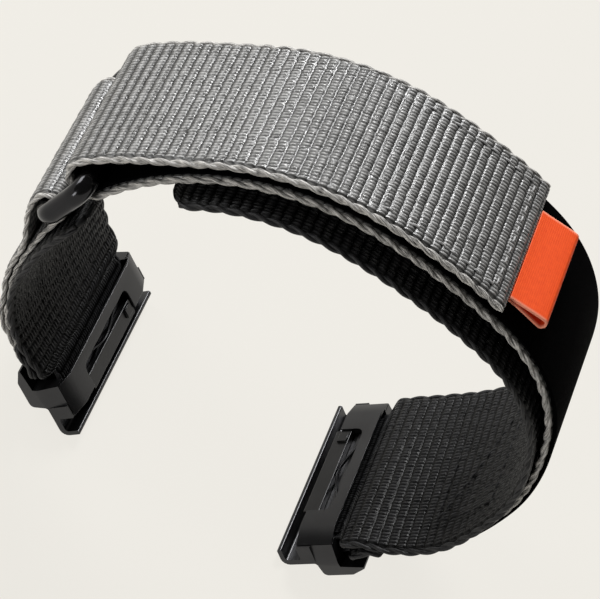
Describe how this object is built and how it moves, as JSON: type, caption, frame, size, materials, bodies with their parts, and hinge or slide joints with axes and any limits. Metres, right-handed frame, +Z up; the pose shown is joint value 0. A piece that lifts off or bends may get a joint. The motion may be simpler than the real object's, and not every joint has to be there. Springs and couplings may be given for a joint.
{
  "type": "nylon watch strap",
  "caption": "Woven hook-and-loop watch strap standing as an arch, with a folded-back flap, a sliding ring, a pull tab and two clip-on end adapters with sprung latches.",
  "frame": {"origin": "centre of the bounding box's base, on the floor under the arch", "axes": "+X from the left adapter to the right one, +Y across the width of the webbing, +Z up"},
  "size_m": [0.0668, 0.028, 0.055],
  "materials": {
    "grey_webbing": "ribbed weave",
    "black_webbing": "ribbed weave",
    "loop_fabric": "brushed loop",
    "orange_ribbon": "fine satin ribbon",
    "satin_black_metal": "satin",
    "gloss_black_ring": "gloss",
    "steel": "plain"
  },
  "bodies": {
    "band": {"band_webbing": "grey_webbing", "band_lining": "loop_fabric", "right_webbing": "black_webbing"},
    "flap": {"flap_webbing": "grey_webbing", "flap_lining": "loop_fabric", "hook_patch": "loop_fabric"},
    "tab": {"pull_tab": "orange_ribbon"},
    "ring": {"ring": "gloss_black_ring"},
    "left_strap": {"ring_strap": "grey_webbing", "left_webbing": "black_webbing"},
    "right_adapter": {"right_adapter_body": "satin_black_metal", "right_adapter_cover": "satin_black_metal", "right_strap_bar": "steel", "right_cover_dowel_1": "steel", "right_cover_dowel_2": "steel", "right_latch_spring": "steel"},
    "right_latch": {"right_latch": "satin_black_metal"},
    "left_adapter": {"left_adapter_body": "satin_black_metal", "left_adapter_cover": "satin_black_metal", "left_strap_bar": "steel", "left_cover_dowel_1": "steel", "left_cover_dowel_2": "steel", "left_latch_spring": "steel"},
    "left_latch": {"left_latch": "satin_black_metal"}
  },
  "joints": [
    {"name": "flap_peel", "type": "hinge", "parent": "band", "child": "flap", "pos_m": [-0.03104, 0, 0.03909], "axis": [0, -1, 0], "range_deg": [0, 90]},
    {"name": "tab_lift", "type": "hinge", "parent": "flap", "child": "tab", "pos_m": [0.01709, 0, 0.05282], "axis": [0, -1, 0], "range_deg": [0, 60]},
    {"name": "ring_swing", "type": "hinge", "parent": "band", "child": "ring", "pos_m": [-0.029, 0, 0.03706], "axis": [0, 1, 0], "range_deg": [-5, 45]},
    {"name": "left_strap_swing", "type": "hinge", "parent": "ring", "child": "left_strap", "pos_m": [-0.03104, 0, 0.02995], "axis": [0, 1, 0], "range_deg": [-5, 45]},
    {"name": "right_adapter_pivot", "type": "hinge", "parent": "band", "child": "right_adapter", "pos_m": [0.01934, 0, 0.00448], "axis": [0, -1, 0], "range_deg": [-12, 12]},
    {"name": "left_adapter_pivot", "type": "hinge", "parent": "left_strap", "child": "left_adapter", "pos_m": [-0.01902, 0, 0.00403], "axis": [0, 1, 0], "range_deg": [-5, 12]},
    {"name": "right_latch_slide", "type": "slide", "parent": "right_adapter", "child": "right_latch", "axis": [0.6813, 0, 0.732], "range_m": [0, 0.0007], "stiffness_N_per_m": 500, "springref_m": -0.0008, "deforming": ["right_latch_spring"]},
    {"name": "left_latch_slide", "type": "slide", "parent": "left_adapter", "child": "left_latch", "axis": [-0.7666, 0, 0.6421], "range_m": [0, 0.0007], "stiffness_N_per_m": 500, "springref_m": -0.0008, "deforming": ["left_latch_spring"]}
  ]
}
